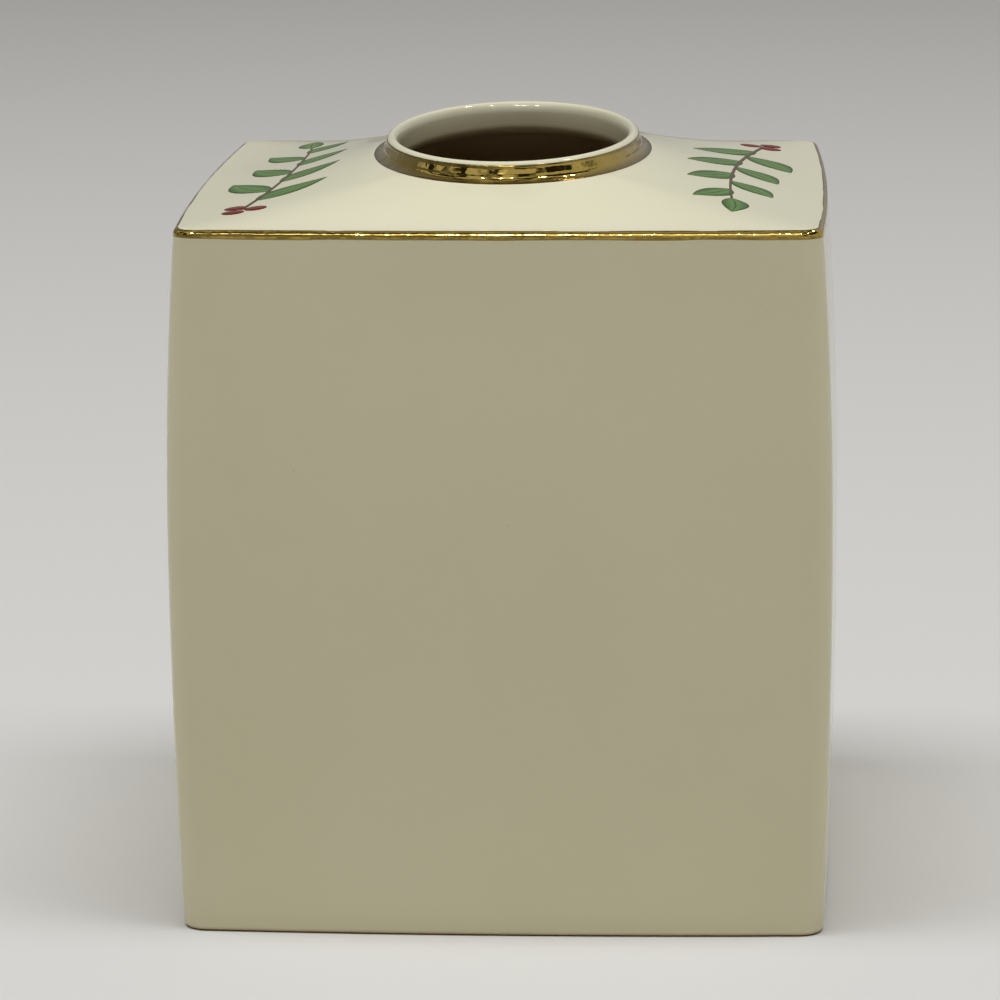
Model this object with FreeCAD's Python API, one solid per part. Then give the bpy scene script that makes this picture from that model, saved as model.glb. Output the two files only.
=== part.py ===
"""Tissue box cover: one slip-cast porcelain shell with gold fired on its shoulder and round its collar.

Millimetres, +Z up. The origin lies on the table under the middle of the cover, and the front wall faces -Y.
The shell has no floor: it goes over a cube-shaped carton, and tissues are drawn through its oval collar.
"""

import FreeCAD
import Part
import math
import os

Vector = FreeCAD.Vector
UP = Vector(0, 0, 1)

# The tissue carton that the cover goes over, and the room left beside and above it
CARTON_SIDE = 112.0
CARTON_HEIGHT = 127.0
CARTON_GAP = 3.65
HEADROOM = 7.65

# The cast walls, which swell to a belly, draw in to the shoulder and bow outwards between their corners
WALL = 4.0
BELLY = 1.35
BELLY_HEIGHT = 75.0
SHOULDER_INSET = 0.85
SIDE_BOW = 1.6
CORNER_R = 4.8
INNER_CORNER_R = 3.0
SHOULDER_R = 1.3
INNER_SHOULDER_R = 3.0
FOOT_BEVEL = 0.8

# The top, which sweeps up from the shoulder to an oval collar that is longest from front to back
TOP_WALL = 3.0
DOME_RISE = 6.6
DOME_SWEEP = 1.5
HIP_EASE = 30.0
OPENING_WIDTH = 45.6
OPENING_LENGTH = 85.8
LIP_WALL = 2.4
COLLAR_HEIGHT = 3.9
COLLAR_INSET = 0.5
FLARE = 2.0
FLARE_HEIGHT = 1.5
THROAT_R = 2.0

# Fired gold, thicker here than on the real cover so that it is a solid
GILT = 0.12
BAND_DROP = 0.45
GILT_SHOULDER_ANGLE = 75.0
GILT_LIP_ANGLE = 30.0

# Places worked out from the sizes above
foot_half = CARTON_SIDE / 2 + CARTON_GAP + WALL
belly_half = foot_half + BELLY
dome_z = CARTON_HEIGHT + HEADROOM + TOP_WALL
wall_top = dome_z - SHOULDER_R
foot_z = dome_z + DOME_RISE
ceiling_z = dome_z - TOP_WALL
crest_z = foot_z + COLLAR_HEIGHT
lip_r = LIP_WALL / 2
lip_z = crest_z - lip_r
flare_offset = FLARE + COLLAR_INSET
inner_top = ceiling_z - INNER_SHOULDER_R
throat_z = ceiling_z + DOME_RISE

# How the surfaces are divided: where the oval's long curves end, and the level courses up each stretch
OVAL_SPLIT = 43.0
UPRIGHT_COURSES = 6
INNER_COURSES = 3
DOME_COURSES = 7
CEILING_COURSES = 6
ROUNDING_COURSES = 3
CREST_COURSES = 6
SEW_TOLERANCE = 0.001


def arc(centre, reach_x, reach_y, start, end):
    """The four control points of a round or oval arc about a centre, from one angle to another in degrees."""
    first, last = math.radians(start), math.radians(end)
    pull = 4 / 3 * math.tan((last - first) / 4)
    ends, pulls = [], []
    for angle in (first, last):
        ends.append(centre + Vector(reach_x * math.cos(angle), reach_y * math.sin(angle), 0))
        pulls.append(Vector(-reach_x * math.sin(angle), reach_y * math.cos(angle), 0) * pull)
    return [ends[0], ends[0] + pulls[0], ends[1] - pulls[1], ends[1]]


def bowed_square(half, corner_r, z):
    """Eight arcs that run into each other: four bowed walls and the corners between them."""
    chord = half - SIDE_BOW
    wall_r = (chord**2 + SIDE_BOW**2) / (2 * SIDE_BOW)
    wall_c = half - wall_r
    # A corner's centre lies on the diagonal, wall_r - corner_r from the centre of each wall's arc.
    reach = wall_r - corner_r
    corner_c = (wall_c + math.sqrt(2 * reach**2 - wall_c**2)) / 2
    turn = math.degrees(math.atan2(corner_c, corner_c - wall_c))
    outline = []
    for way in (0, 90, 180, 270):
        aside = FreeCAD.Rotation(UP, way)
        wall_centre = aside.multVec(Vector(wall_c, 0, 0)) + UP * z
        corner_centre = aside.multVec(Vector(corner_c, corner_c, 0)) + UP * z
        outline.append(arc(wall_centre, wall_r, wall_r, way - turn, way + turn))
        outline.append(arc(corner_centre, corner_r, corner_r, way + turn, way + 90 - turn))
    return outline


def oval(offset, z):
    """The collar's oval, grown by offset from the outside of its lip, in eight arcs to match bowed_square."""
    reach_x = OPENING_WIDTH / 2 + LIP_WALL + offset
    reach_y = OPENING_LENGTH / 2 + LIP_WALL + offset
    outline = []
    for way in (0, 90, 180, 270):
        outline.append(arc(UP * z, reach_x, reach_y, way - OVAL_SPLIT, way + OVAL_SPLIT))
        outline.append(arc(UP * z, reach_x, reach_y, way + OVAL_SPLIT, way + 90 - OVAL_SPLIT))
    return outline


def between(first, last, share, z):
    """The outline part of the way from one outline to another, laid at height z."""
    outline = []
    for a_points, b_points in zip(first, last):
        mixed = [a * (1 - share) + b * share for a, b in zip(a_points, b_points)]
        outline.append([Vector(point.x, point.y, z) for point in mixed])
    return outline


def wire(outline):
    """An outline as one closed wire."""
    edges = []
    for points in outline:
        curve = Part.BezierCurve()
        curve.setPoles(points)
        edges.append(curve.toShape())
    return Part.Wire(edges)


def steps(start, end, count):
    """Evenly spaced values from start to end, both included."""
    return [start + (end - start) * i / count for i in range(count + 1)]


def skin(outline_at, start, end, courses=1):
    """The faces of a stretch of surface, in level courses between the outlines that outline_at gives."""
    return Part.makeLoft([wire(outline_at(place)) for place in steps(start, end, courses)], False, True).Faces


def rim(lower, upper):
    """The narrow faces between two outlines that lie close together."""
    return Part.makeLoft([wire(lower), wire(upper)], False, True).Faces


def level_face(*outlines):
    """The flat face inside an outline, or between it and a smaller one at the same height."""
    return Part.makeFace([wire(outline) for outline in outlines], "Part::FaceMakerBullseye").Faces


def closed_solid(faces):
    """One solid from faces that meet edge to edge."""
    shell = Part.Compound(faces)
    shell.sewShape(SEW_TOLERANCE)
    solid = Part.Solid(shell.Shells[0])
    if solid.Volume < 0:
        solid.reverse()
    return solid


def quarter(radius, angle):
    """How far a rounded edge has drawn in and risen at an angle of its quarter turn from upright to level."""
    turn = math.radians(angle)
    return radius * (1 - math.cos(turn)), radius * math.sin(turn)


def wall_half(z):
    """Half the outside width of the walls at a height."""
    if z < BELLY_HEIGHT:
        return belly_half - BELLY * (1 - z / BELLY_HEIGHT) ** 2
    rise = (z - BELLY_HEIGHT) / (wall_top - BELLY_HEIGHT)
    return belly_half - (BELLY + SHOULDER_INSET) * rise**2


def wall_outline(z, grow=0.0):
    """The outside of the walls at a height, grown outwards by grow."""
    return bowed_square(wall_half(z) + grow, CORNER_R + grow, z)


def shoulder_outline(angle, grow=0.0):
    """The rounded shoulder, from the top of the walls at 0 degrees to the edge of the dome at 90."""
    inset, rise = quarter(SHOULDER_R + grow, angle)
    return bowed_square(wall_half(wall_top) + grow - inset, CORNER_R + grow - inset, wall_top + rise)


def swept(first, last, share):
    """The outline part of the way up the top's sweep, which is nearly level first and then steeper."""
    low = first[0][0].z
    return between(first, last, share, low + DOME_RISE * share**DOME_SWEEP)


def dome_outline(share):
    """The top, from the shoulder at 0 up to the foot of the collar at 1, with hips that soften on the way."""
    half = wall_half(wall_top) - SHOULDER_R
    edge = bowed_square(half, CORNER_R - SHOULDER_R + HIP_EASE * share, dome_z)
    return swept(edge, flare_outline(0), share)


def flare_outline(angle, grow=0.0):
    """The hollow curve from the dome at 0 degrees to the collar's side at 90."""
    turn = math.radians(angle)
    offset = flare_offset - (FLARE - grow) * math.sin(turn)
    return oval(offset, foot_z + FLARE_HEIGHT - (FLARE_HEIGHT - grow) * math.cos(turn))


def collar_outline(share, grow=0.0):
    """The collar's side, which leans in a little from the flare up to the lip."""
    low = foot_z + FLARE_HEIGHT
    return oval(COLLAR_INSET * (1 - share) + grow, low + (lip_z - low) * share)


def lip_outline(angle, grow=0.0):
    """The half-round lip, from its outside at 0 degrees over the crest to the throat at 180."""
    inset, rise = quarter(lip_r + grow, angle)
    return oval(grow - inset, lip_z + rise)


def throat_outline(z):
    """The upright throat inside the collar."""
    return oval(-LIP_WALL, z)


def throat_edge_outline(angle):
    """The rounded lower edge of the throat, from the throat at 0 degrees to the ceiling at 90."""
    inset, drop = quarter(THROAT_R, angle)
    return oval(inset - LIP_WALL, throat_z + THROAT_R - drop)


def inner_wall_outline(z):
    """The inside of the walls at a height."""
    return bowed_square(wall_half(z) - WALL, INNER_CORNER_R, z)


def inner_shoulder_outline(angle):
    """The hollow corner from the inner walls at 0 degrees to the ceiling at 90."""
    inset, rise = quarter(INNER_SHOULDER_R, angle)
    return bowed_square(wall_half(inner_top) - WALL - inset, INNER_CORNER_R, inner_top + rise)


def ceiling_outline(share):
    """The underside of the top, which follows it at the wall's thickness."""
    return swept(inner_shoulder_outline(90), throat_edge_outline(90), share)


def foot_outline(angle):
    """The outer edge of the foot, from the wall at 0 degrees to the table at 90."""
    inset, drop = quarter(FOOT_BEVEL, angle)
    return bowed_square(wall_half(FOOT_BEVEL) - inset, CORNER_R - inset, FOOT_BEVEL - drop)


def inner_foot_outline(angle):
    """The inner edge of the foot, from the inner wall at 0 degrees to the table at 90."""
    inset, drop = quarter(FOOT_BEVEL, angle)
    return bowed_square(wall_half(FOOT_BEVEL) - WALL + inset, INNER_CORNER_R + inset, FOOT_BEVEL - drop)


def porcelain_shell():
    """The whole casting: outside, lip, throat and inside, and the flat foot that it stands on."""
    outside = (
        skin(foot_outline, 90, 0)
        + skin(wall_outline, FOOT_BEVEL, wall_top, UPRIGHT_COURSES)
        + skin(shoulder_outline, 0, 90, ROUNDING_COURSES)
        + skin(dome_outline, 0, 1, DOME_COURSES)
        + skin(flare_outline, 0, 90, ROUNDING_COURSES)
        + skin(collar_outline, 0, 1)
        + skin(lip_outline, 0, 180, CREST_COURSES)
    )
    inside = (
        skin(throat_outline, lip_z, throat_z + THROAT_R)
        + skin(throat_edge_outline, 0, 90)
        + skin(ceiling_outline, 1, 0, CEILING_COURSES)
        + skin(inner_shoulder_outline, 90, 0)
        + skin(inner_wall_outline, inner_top, FOOT_BEVEL, INNER_COURSES)
        + skin(inner_foot_outline, 0, 90)
    )
    return closed_solid(outside + inside + level_face(foot_outline(90), inner_foot_outline(90)))


def shoulder_gilt_band():
    """A gold line over most of the shoulder's rounded edge and a little way down the wall."""
    low = wall_top - BAND_DROP
    faces = level_face(wall_outline(low, GILT), wall_outline(low))
    faces += rim(shoulder_outline(GILT_SHOULDER_ANGLE), shoulder_outline(GILT_SHOULDER_ANGLE, GILT))
    for grow in (0, GILT):
        faces += skin(lambda z: wall_outline(z, grow), low, wall_top)
        faces += skin(lambda angle: shoulder_outline(angle, grow), 0, GILT_SHOULDER_ANGLE, ROUNDING_COURSES)
    return closed_solid(faces)


def collar_gilt_band():
    """Gold over the collar's flare, its side and the outer part of its lip."""
    faces = rim(flare_outline(0), flare_outline(0, GILT))
    faces += rim(lip_outline(GILT_LIP_ANGLE), lip_outline(GILT_LIP_ANGLE, GILT))
    for grow in (0, GILT):
        faces += skin(lambda angle: flare_outline(angle, grow), 0, 90, ROUNDING_COURSES)
        faces += skin(lambda share: collar_outline(share, grow), 0, 1)
        faces += skin(lambda angle: lip_outline(angle, grow), 0, GILT_LIP_ANGLE)
    return closed_solid(faces)


def build():
    """Every piece by its node name."""
    return {
        "porcelain_shell": porcelain_shell(),
        "shoulder_gilt_band": shoulder_gilt_band(),
        "collar_gilt_band": collar_gilt_band(),
    }


os.makedirs("parts", exist_ok=True)
for node, shape in build().items():
    shape.exportStep(f"parts/{node}.step")
    print(node, "solids", len(shape.Solids), "valid", shape.isValid(), "volume", round(shape.Volume, 2))
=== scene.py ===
# %% [markdown]
# # A porcelain tissue box cover
# The cover is one slip-cast porcelain shell, open underneath, that is lowered over an upright carton
# of tissues. Its walls bow and swell, its top sweeps up to an oval collar, and gold is fired on the
# shoulder and round the collar. This lesson dresses the CAD frame: it lays the same outlines again as
# one smooth mesh, then adds glaze, gold, printed sprigs, a floor, lamps and a camera.

# %% Load the frame
import math

import bpy
from mathutils import Matrix, Vector


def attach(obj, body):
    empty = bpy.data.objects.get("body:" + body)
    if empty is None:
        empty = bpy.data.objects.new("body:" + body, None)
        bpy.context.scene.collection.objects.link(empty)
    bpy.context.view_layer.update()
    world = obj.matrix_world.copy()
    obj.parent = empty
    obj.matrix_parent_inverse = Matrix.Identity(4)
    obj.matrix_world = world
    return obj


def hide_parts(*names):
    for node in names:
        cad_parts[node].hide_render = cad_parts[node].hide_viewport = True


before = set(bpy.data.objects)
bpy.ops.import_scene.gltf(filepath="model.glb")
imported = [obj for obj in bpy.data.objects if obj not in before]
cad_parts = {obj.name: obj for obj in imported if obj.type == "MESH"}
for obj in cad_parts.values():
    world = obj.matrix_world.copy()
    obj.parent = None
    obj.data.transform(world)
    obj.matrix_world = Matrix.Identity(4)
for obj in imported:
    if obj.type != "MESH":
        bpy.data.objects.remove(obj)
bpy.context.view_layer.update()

# %% [markdown]
# ## Sizes
# The CAD part is measured in millimetres and the scene in metres, so one factor joins them. These are
# the casting's own sizes: half widths of the walls, radii of its edges, and the oval of its collar.
# Writing them once, and working the rest out, keeps every piece below on the same surface.

# %% The casting's sizes in millimetres
MM = 0.001
FOOT_HALF = 63.65
WALL = 4.0
BELLY = 1.35
BELLY_HEIGHT = 75.0
SHOULDER_INSET = 0.85
SIDE_BOW = 1.6
CORNER_R = 4.8
INNER_CORNER_R = 3.0
SHOULDER_R = 1.3
INNER_SHOULDER_R = 3.0
FOOT_BEVEL = 0.8
DOME_Z = 137.65
TOP_WALL = 3.0
DOME_RISE = 6.6
HIP_EASE = 30.0
OPENING_WIDTH = 45.6
OPENING_LENGTH = 85.8
LIP_WALL = 2.4
COLLAR_HEIGHT = 3.9
COLLAR_INSET = 0.5
FLARE = 2.0
FLARE_HEIGHT = 1.5
THROAT_R = 2.0
LIP_SAG = 1.0
# The sweep of the top is a power of how far it has gone, and not a length.
DOME_SWEEP = 1.5

belly_half = FOOT_HALF + BELLY
wall_top = DOME_Z - SHOULDER_R
collar_foot_z = DOME_Z + DOME_RISE
ceiling_z = DOME_Z - TOP_WALL
lip_r = LIP_WALL / 2
lip_z = collar_foot_z + COLLAR_HEIGHT - lip_r
inner_top = ceiling_z - INNER_SHOULDER_R
throat_z = ceiling_z + DOME_RISE
print("Belly", 2 * belly_half, "mm wide, crest at", round(lip_z + lip_r, 2), "mm")

# %% [markdown]
# ## Small helpers
# Colours are written as sRGB hex, as a paint chart gives them, and Blender's shaders want linear
# values, so one function turns them. Node trees need many nodes, so another adds one node, sets its
# properties and fills or links its inputs. Both kinds of tree below are built with it, and with short
# functions for what they use most: sums, blends, changes of range, noise, and which rays see a thing.

# %% Colour and node helpers
MATH = "ShaderNodeMath"
MIX = "ShaderNodeMix"
NOISE = "ShaderNodeTexNoise"
RANGE = "ShaderNodeMapRange"
# Most values of a noise lie in this range.
NOISE_RANGE = (0.3, 0.7)


def colour(hex_code):
    """An sRGB hex colour as linear red, green, blue and alpha."""
    parts = [int(hex_code[i:i + 2], 16) / 255 for i in (1, 3, 5)]
    linear = [p / 12.92 if p <= 0.04045 else ((p + 0.055) / 1.055) ** 2.4 for p in parts]
    return (*linear, 1.0)


def add(tree, kind, inputs=None, **settings):
    """Adds a node with its settings. An input, by name, number or identifier, is a value or an output."""
    node = tree.nodes.new(kind)
    for name, value in settings.items():
        setattr(node, name, value)
    by_identifier = {socket.identifier: socket for socket in node.inputs}
    for key, value in (inputs or {}).items():
        socket = by_identifier[key] if key in by_identifier else node.inputs[key]
        if isinstance(value, bpy.types.NodeSocket):
            tree.links.new(value, socket)
        else:
            socket.default_value = value
    return node


def new_material(name):
    """A node material, its tree, and the Principled shader that its finish is built on."""
    material = bpy.data.materials.new(name)
    material.use_nodes = True
    return material, material.node_tree, material.node_tree.nodes["Principled BSDF"]


def calculate(tree, operation, *values):
    """The result of a Math node on one to three values or outputs."""
    return add(tree, MATH, dict(enumerate(values)), operation=operation).outputs[0]


def between(tree, share, low, high):
    """A number part of the way from low to high."""
    return add(tree, MIX, {"Factor_Float": share, "A_Float": low, "B_Float": high}).outputs[0]


def blend(tree, share, first, second):
    """A colour part of the way between two, each a hex code or an output."""
    a, b = (colour(c) if isinstance(c, str) else c for c in (first, second))
    return add(tree, MIX, {"Factor_Float": share, "A_Color": a, "B_Color": b}, data_type="RGBA").outputs[2]


def remap(tree, value, source=(0.0, 1.0), target=(0.0, 1.0)):
    """A value moved from one range to another and kept inside it."""
    ends = dict(zip(("From Min", "From Max", "To Min", "To Max"), (*source, *target)))
    return add(tree, RANGE, {"Value": value, **ends}).outputs["Result"]


def noise(tree, place, size, detail):
    """A noise whose waves are about size millimetres long."""
    return add(tree, NOISE, {"Vector": place, "Scale": 1 / (size * MM), "Detail": detail}).outputs["Fac"]


def seen_rays(tree):
    """1 for rays from the camera, off mirrors and through glass, and 0 for all others."""
    path = add(tree, "ShaderNodeLightPath").outputs
    seen = calculate(tree, "MAXIMUM", path["Is Camera Ray"], path["Is Glossy Ray"])
    return calculate(tree, "MAXIMUM", seen, path["Is Transmission Ray"])


print("Warm white in linear light:", [round(v, 3) for v in colour("#FFF4E0")])

# %% [markdown]
# ## Ivory glazed porcelain
# The body is fine porcelain under an ivory feldspar glaze, fired glossy. Glaze is glass, so its IOR is
# about 1.5 and its roughness low. It pools a little, which shows as clouds of tone some 40 mm wide and
# as a shallow orange peel a few millimetres across that makes reflections swim. The foot is wiped bare
# before firing and the inside has only a thin wash, so a glaze attribute on the mesh blends the gloss
# into matt biscuit there. The biscuit is given a darker brown than bare porcelain has, which is partly
# painted shade for the dim inside of the cover.

# %% Ivory glaze: colour
CLOUD_MM = 40.0
SPECK_MM = 16.0
SPECK_EDGE = (0.006, 0.014)
SPECK_STRENGTH = 0.25

porcelain, tree, glaze_shader = new_material("ivory_glazed_porcelain")
place = add(tree, "ShaderNodeTexCoord").outputs["Object"]
glaze_and_inside_shade = add(tree, "ShaderNodeAttribute", attribute_name="glaze").outputs["Fac"]
ivory = blend(tree, noise(tree, place, CLOUD_MM, 2.0), "#E8E4C6", "#E3DDBC")
# Iron specks like pinpricks lie far apart, at the very middle of large cells.
cells = add(tree, "ShaderNodeTexVoronoi", {"Vector": place, "Scale": 1 / (SPECK_MM * MM)})
speck = remap(tree, cells.outputs["Distance"], SPECK_EDGE, (SPECK_STRENGTH, 0.0))
# The bare biscuit's dark brown is partly painted shade: it darkens the inside, the throat and the ceiling,
# where little light falls.
body_colour_and_inside_shade = blend(tree, glaze_and_inside_shade, "#A88B5A", blend(tree, speck, ivory, "#8A7350"))
tree.links.new(body_colour_and_inside_shade, glaze_shader.inputs["Base Color"])
print("Glaze clouds", CLOUD_MM, "mm across, specks about", SPECK_MM, "mm apart")

# %% Ivory glaze: gloss and relief
GLAZE_IOR = 1.5
GLAZE_ROUGHNESS = (0.05, 0.10)
CLAY_ROUGHNESS = 0.75
SWELL_MM, SWELL_DEPTH = 34.0, 0.12
PEEL_MM, PEEL_DEPTH = 7.0, 0.006
GRAIN_MM, GRAIN_DEPTH = 0.5, 0.04

gloss = remap(tree, noise(tree, place, 2 * PEEL_MM, 3.0), target=GLAZE_ROUGHNESS)
roughness = between(tree, glaze_and_inside_shade, CLAY_ROUGHNESS, gloss)
tree.links.new(roughness, glaze_shader.inputs["Roughness"])
# Heights in millimetres: a slow swell from the mould, a fine peel in the glaze, and grain on bare clay.
swell = calculate(tree, "MULTIPLY", noise(tree, place, SWELL_MM, 0.0), SWELL_DEPTH)
skin = calculate(tree, "MULTIPLY_ADD", noise(tree, place, PEEL_MM, 1.0), PEEL_DEPTH, swell)
bare = remap(tree, glaze_and_inside_shade, target=(GRAIN_DEPTH, 0.0))
relief = calculate(tree, "MULTIPLY_ADD", noise(tree, place, GRAIN_MM, 1.0), bare, skin)
bump = add(tree, "ShaderNodeBump", {"Height": relief, "Distance": MM})
tree.links.new(bump.outputs["Normal"], glaze_shader.inputs["Normal"])
glaze_shader.inputs["IOR"].default_value = GLAZE_IOR
print("Orange peel", PEEL_MM, "mm, mould swell", SWELL_MM, "mm")

# %% [markdown]
# ## Fired gold
# Bright gold is brushed on over the fired glaze and fired again. It comes out as a mirror, so most of
# its look is what it reflects. Where the brush thins it out at its edges it is darker and less polished,
# which a film attribute on the mesh marks. Over the hollow flare at the foot of the collar that dark edge
# runs further up, which is painted shade in that crease. The brush also leaves waves a few millimetres
# long and finer ripples across them, which break reflections into streaks and patches.

# %% Fired gold
BRUSH_MM, BRUSH_DEPTH = 4.0, 0.22
RIPPLE_MM, RIPPLE_DEPTH = 1.5, 0.025
EDGE_ROUGHNESS = 0.28
GOLD_ROUGHNESS = 0.07

gold, tree, gold_shader = new_material("fired_bright_gold")
place = add(tree, "ShaderNodeTexCoord").outputs["Object"]
film = add(tree, "ShaderNodeAttribute", attribute_name="film").outputs["Fac"]
brush = noise(tree, place, BRUSH_MM, 2.0)
ripple = noise(tree, place, RIPPLE_MM, 1.0)
# Dark edge gold: thin brushed gold, and over the collar's flare also painted shade in the crease.
gold_colour = blend(tree, film, "#84723F", blend(tree, brush, "#D9BD69", "#C1A453"))
polish = remap(tree, film, target=(EDGE_ROUGHNESS, GOLD_ROUGHNESS))
wave = calculate(tree, "MULTIPLY", brush, BRUSH_DEPTH)
waves = calculate(tree, "MULTIPLY_ADD", ripple, RIPPLE_DEPTH, wave)
bump = add(tree, "ShaderNodeBump", {"Height": waves, "Distance": MM})
tree.links.new(gold_colour, gold_shader.inputs["Base Color"])
tree.links.new(polish, gold_shader.inputs["Roughness"])
tree.links.new(bump.outputs["Normal"], gold_shader.inputs["Normal"])
gold_shader.inputs["Metallic"].default_value = 1.0
print("Gold brush waves", BRUSH_MM, "mm long, ripples", RIPPLE_MM, "mm")

# %% [markdown]
# ## Printed enamels
# The sprigs are a transfer print in ceramic colours, which fire a little duller than the glaze. A leaf is
# shaded as such prints are: a dark line round its edge and along its midrib, a deep green between, and a
# pale middle to each half. The shading follows an attribute of the leaf mesh, its place across the leaf.

# %% Leaf, stem and berry enamels
LEAF_STOPS = [(0.00, "#294715"), (0.07, "#39631F"), (0.12, "#66883E"), (0.42, "#537A31"),
              (0.72, "#3D6424"), (0.90, "#30501A"), (0.97, "#303615")]
TINT_MM = 6.0
TINT_STRENGTH = 0.35
PRINT_ROUGHNESS = 0.25
PRINT_SPECULAR = 0.1

leaf_print, tree, leaf_shader = new_material("leaf_green_enamel")
across = add(tree, "ShaderNodeAttribute", attribute_name="leaf_across").outputs["Fac"]
ramp = add(tree, "ShaderNodeValToRGB", {"Fac": calculate(tree, "ABSOLUTE", across)})
while len(ramp.color_ramp.elements) < len(LEAF_STOPS):
    ramp.color_ramp.elements.new(0.5)
for stop, (position, hex_code) in zip(ramp.color_ramp.elements, LEAF_STOPS):
    stop.position = position
    stop.color = colour(hex_code)
place = add(tree, "ShaderNodeTexCoord").outputs["Object"]
depth = remap(tree, noise(tree, place, TINT_MM, 2.0), NOISE_RANGE, (0.0, TINT_STRENGTH))
leaf_colour = blend(tree, depth, ramp.outputs["Color"], "#395C21")
tree.links.new(leaf_colour, leaf_shader.inputs["Base Color"])

ENAMELS = {"stem": ("stem_brown_enamel", "#5F4E30", "#483B25"),
           "berry": ("berry_red_enamel", "#802B25", "#60211F")}
prints = {}
for part, (name, light, dark) in ENAMELS.items():
    prints[part], tree, shader = new_material(name)
    place = add(tree, "ShaderNodeTexCoord").outputs["Object"]
    mixed = blend(tree, noise(tree, place, TINT_MM, 2.0), light, dark)
    tree.links.new(mixed, shader.inputs["Base Color"])
for printed in (leaf_print, *prints.values()):
    shader = printed.node_tree.nodes["Principled BSDF"]
    shader.inputs["Roughness"].default_value = PRINT_ROUGHNESS
    shader.inputs["Specular IOR Level"].default_value = PRINT_SPECULAR
print("Enamels:", leaf_print.name, [m.name for m in prints.values()])

# %% [markdown]
# ## The rule of the casting
# Every level outline of the cover is a square with bowed sides and rounded corners, an oval, or
# something between the two. A row of numbers says which: the arcs of the square, how far the row has
# gone over to the oval, its height, and what lies on it. A list of rows is then the cover's section,
# from the foot up the outside, over the lip and back down the inside.

# %% Rows of the section
def bowed_square(half, corner_r):
    """Centres and radii of the wall's and the corner's arcs, and the turn at which they meet."""
    chord = half - SIDE_BOW
    wall_r = (chord ** 2 + SIDE_BOW ** 2) / (2 * SIDE_BOW)
    wall_c = half - wall_r
    corner_c = (wall_c + math.sqrt(2 * (wall_r - corner_r) ** 2 - wall_c ** 2)) / 2
    turn = math.atan2(corner_c, corner_c - wall_c)
    return wall_c * MM, wall_r * MM, corner_c * MM, corner_r * MM, turn


def row(half, corner_r, height, share=0.0, offset=0.0, glaze=1.0):
    """One level of the section. Share is how far it has gone from the square to the oval."""
    names = ("wall_centre", "wall_radius", "corner_centre", "corner_radius", "wall_turn")
    values = dict(zip(names, bowed_square(half, corner_r)))
    values.update(oval_share=share, oval_offset=offset * MM, height=height * MM, glaze=glaze)
    values.update(film=0.0, ease=0.0, waver_up=0.0, waver_in=0.0)
    return values


def quarter(radius, angle):
    """How far a rounded edge has drawn in and risen at an angle of its turn from upright to level."""
    turn = math.radians(angle)
    return radius * (1 - math.cos(turn)), radius * math.sin(turn)


def wall_half(z):
    """Half the outside width of the walls at a height."""
    if z < BELLY_HEIGHT:
        return belly_half - BELLY * (1 - z / BELLY_HEIGHT) ** 2
    rise = (z - BELLY_HEIGHT) / (wall_top - BELLY_HEIGHT)
    return belly_half - (BELLY + SHOULDER_INSET) * rise ** 2


def spread(start, end, count):
    """Evenly spaced values from start to end, both included."""
    return [start + (end - start) * i / count for i in range(count + 1)]


ROW_VALUES = list(row(belly_half, CORNER_R, 0.0))
TREE_VALUES = ROW_VALUES + ["step", "print_layer", "leaf_across"]
print("Each row holds", ROW_VALUES)

# %% [markdown]
# The outside rows take a small growth, so that the gold can use them again a little way off the glaze.

# %% Outside rows
EASE_RAMP = 5

shoulder_half = wall_half(wall_top)
edge_half = shoulder_half - SHOULDER_R


def wall_row(z, grow=0.0):
    """The outside of the walls at a height."""
    return row(wall_half(z) + grow, CORNER_R + grow, z)


def shoulder_row(angle, grow=0.0):
    """The rounded shoulder, from the walls at 0 degrees to the top at 90."""
    inset, rise = quarter(SHOULDER_R + grow, angle)
    return row(shoulder_half + grow - inset, CORNER_R + grow - inset, wall_top + rise)


def dome_row(share):
    """The swept top, from the shoulder at 0 to the foot of the collar at 1. Its hips are eased later."""
    corner_r = CORNER_R - SHOULDER_R + HIP_EASE * share
    height = DOME_Z + DOME_RISE * share ** DOME_SWEEP
    values = row(edge_half, corner_r, height, share, FLARE + COLLAR_INSET)
    values["ease"] = min(1.0, EASE_RAMP * min(share, 1 - share))
    return values


def oval_row(offset, z, glaze=1.0):
    """A level of the collar, grown by offset from the outside of its lip."""
    return row(edge_half, CORNER_R, z, 1.0, offset, glaze)


def flare_row(angle, grow=0.0):
    """The hollow curve from the top at 0 degrees to the collar's side at 90."""
    turn = math.radians(angle)
    offset = FLARE + COLLAR_INSET - (FLARE - grow) * math.sin(turn)
    return oval_row(offset, collar_foot_z + FLARE_HEIGHT - (FLARE_HEIGHT - grow) * math.cos(turn))


def collar_row(share, grow=0.0):
    """The collar's side, which leans in a little."""
    low = collar_foot_z + FLARE_HEIGHT
    return oval_row(COLLAR_INSET * (1 - share) + grow, low + (lip_z - low) * share)


def lip_row(angle, grow=0.0):
    """The lip, from its outside at 0 degrees over the crest to the throat at 180.

    It is half round outside, and its throat side is drawn out lower, where the glaze runs down.
    """
    inset, rise = quarter(lip_r + grow, angle)
    if angle > 90:
        rise -= LIP_SAG * (1 - math.sin(math.radians(angle)))
    return oval_row(grow - inset, lip_z + rise)


print("Shoulder half width", round(shoulder_half, 2), "mm, top's edge", round(edge_half, 2), "mm")

# %% Inside and foot rows
# Lower glaze shares also darken the colour towards the biscuit brown: inside the cover that darkening is
# partly painted shade.
THROAT_GLAZE = 0.6
CEILING_GLAZE = 0.2
FOOT_BARE_ANGLE = 60.0


def throat_row(share):
    """The upright side of the throat, where the glaze gets thinner on the way down and the colour darkens,
    partly as painted shade.
    """
    top = lip_z - LIP_SAG
    return oval_row(-LIP_WALL, top + (throat_z + THROAT_R - top) * share,
                    1 - (1 - THROAT_GLAZE) * share)


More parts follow.
